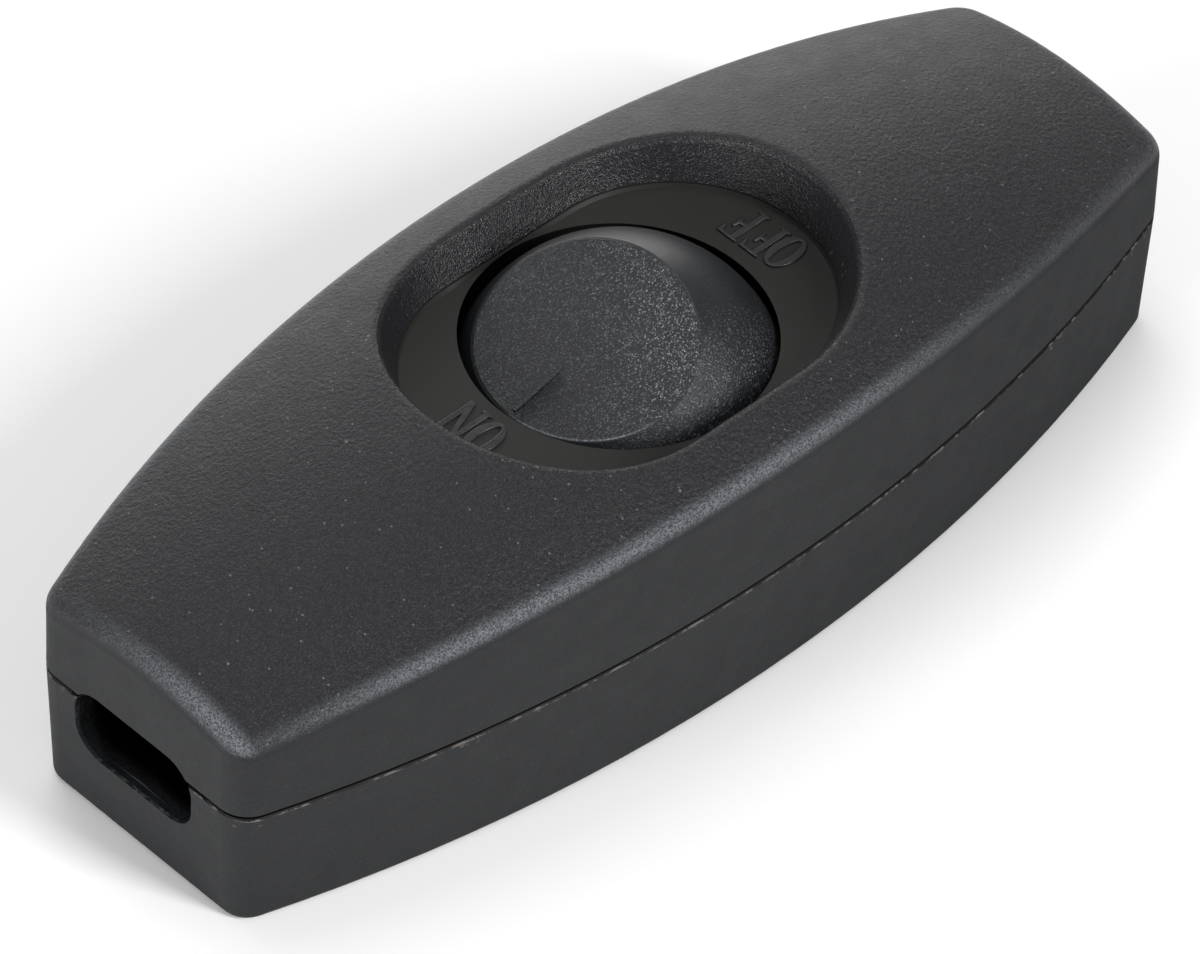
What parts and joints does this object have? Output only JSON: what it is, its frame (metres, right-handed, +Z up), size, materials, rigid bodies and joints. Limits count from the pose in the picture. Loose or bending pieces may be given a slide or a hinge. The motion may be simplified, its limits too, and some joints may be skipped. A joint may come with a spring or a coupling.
{
  "type": "inline cord switch",
  "caption": "Long two-shell housing with bowed sides, a dished round rocker in an oval finger recess, and a flat cord slot at each end.",
  "frame": {"origin": "centre of the flat base", "axes": "+X along the cord, towards the raised side of the rocker; +Y across; +Z up out of the base"},
  "size_m": [0.0632, 0.0246, 0.0177],
  "materials": {
    "housing": "fine leather grain on top, satin sides",
    "rocker": "fine sparkle texture",
    "plunger": "smooth",
    "clamp": "satin",
    "brass": "rolled strip",
    "contact_silver": "satin",
    "screw_steel": "zinc plated",
    "spring_steel": "drawn wire"
  },
  "bodies": {
    "housing": {"top_cover": "housing", "bottom_cover": "housing", "fixed_contact": "contact_silver", "line_terminal": "brass", "load_terminal": "brass", "neutral_terminal": "brass", "line_terminal_screw": "screw_steel", "load_terminal_screw": "screw_steel", "neutral_screw_in": "screw_steel", "neutral_screw_out": "screw_steel", "cord_clamp_in": "clamp", "cord_clamp_out": "clamp", "clamp_screw_in_near": "screw_steel", "clamp_screw_in_far": "screw_steel", "clamp_screw_out_near": "screw_steel", "clamp_screw_out_far": "screw_steel", "housing_screw_in": "screw_steel", "housing_screw_out": "screw_steel"},
    "rocker": {"rocker_button": "rocker", "rocker_spring": "spring_steel"},
    "plunger": {"plunger": "plunger"},
    "seesaw": {"contact_rocker": "brass", "moving_contact": "contact_silver"}
  },
  "joints": [
    {"name": "rocker_hinge", "type": "hinge", "parent": "housing", "child": "rocker", "pos_m": [0, 0, 0.00945], "axis": [0, 1, 0], "range_deg": [0, 46]},
    {"name": "plunger_slide", "type": "slide", "parent": "rocker", "child": "plunger", "axis": [-0.3907, 0, 0.9205], "range_m": [0, 0.0013], "stiffness_N_per_m": 300, "deforming": ["rocker_spring"]},
    {"name": "seesaw_hinge", "type": "hinge", "parent": "housing", "child": "seesaw", "pos_m": [0, 0, 0.0035], "axis": [0, 1, 0], "range_deg": [-18, 0]}
  ],
  "couplings": [
    {"joint": "seesaw_hinge", "follows": "rocker_hinge", "ratio": -0.3913}
  ]
}
